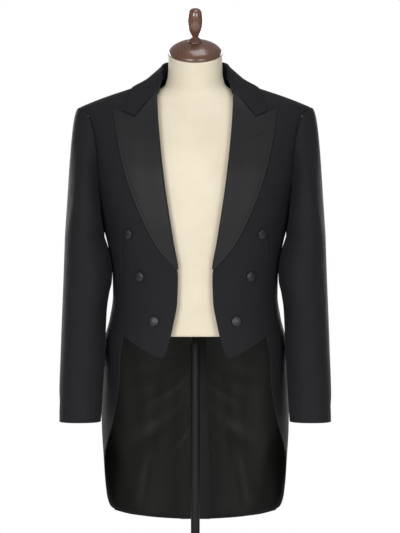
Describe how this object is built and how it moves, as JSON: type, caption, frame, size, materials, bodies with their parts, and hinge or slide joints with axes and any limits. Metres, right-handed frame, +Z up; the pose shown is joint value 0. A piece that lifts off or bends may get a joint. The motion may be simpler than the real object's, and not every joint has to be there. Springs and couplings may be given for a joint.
{
  "type": "white tie tailcoat on a limbless dress form stand",
  "caption": "Black evening tailcoat with peaked silk lapels, cut-away fronts and long tails, worn by a limbless dress form on a pole and round base.",
  "frame": {"origin": "on the floor, at the centre of the round base's underside", "axes": "+Z up; -Y is the coat's front; +X is the wearer's left"},
  "size_m": [0.5406, 0.34, 1.2815],
  "materials": {
    "wool": "matt black barathea wool",
    "silk": "soft-sheen black ribbed silk facing",
    "button_silk": "black silk-covered button",
    "lining": "olive-black satin lining",
    "jersey": "cream jersey cover, taut and smooth",
    "walnut": "dark turned walnut, satin lacquer",
    "black_metal": "matt black powder coat"
  },
  "bodies": {
    "root": {"forepart_left": "wool", "forepart_right": "wool", "sidebody_left": "wool", "sidebody_right": "wool", "back_left": "wool", "back_right": "wool", "tail_left": "wool", "tail_right": "wool", "collar": "wool", "sleeve_top_left": "wool", "sleeve_top_right": "wool", "sleeve_under_left": "wool", "sleeve_under_right": "wool", "breast_welt": "wool", "vent_facing": "wool", "lapel_left": "silk", "lapel_right": "silk", "front_button_left_1": "button_silk", "front_button_left_2": "button_silk", "front_button_left_3": "button_silk", "front_button_right_1": "button_silk", "front_button_right_2": "button_silk", "front_button_right_3": "button_silk", "back_button_left_1": "button_silk", "back_button_right_1": "button_silk", "tail_lining_left": "lining", "tail_lining_right": "lining", "form_torso": "jersey", "form_cap": "walnut", "form_finial": "walnut", "stand_base": "black_metal", "stand_socket": "black_metal", "stand_pole": "black_metal"}
  },
  "joints": []
}
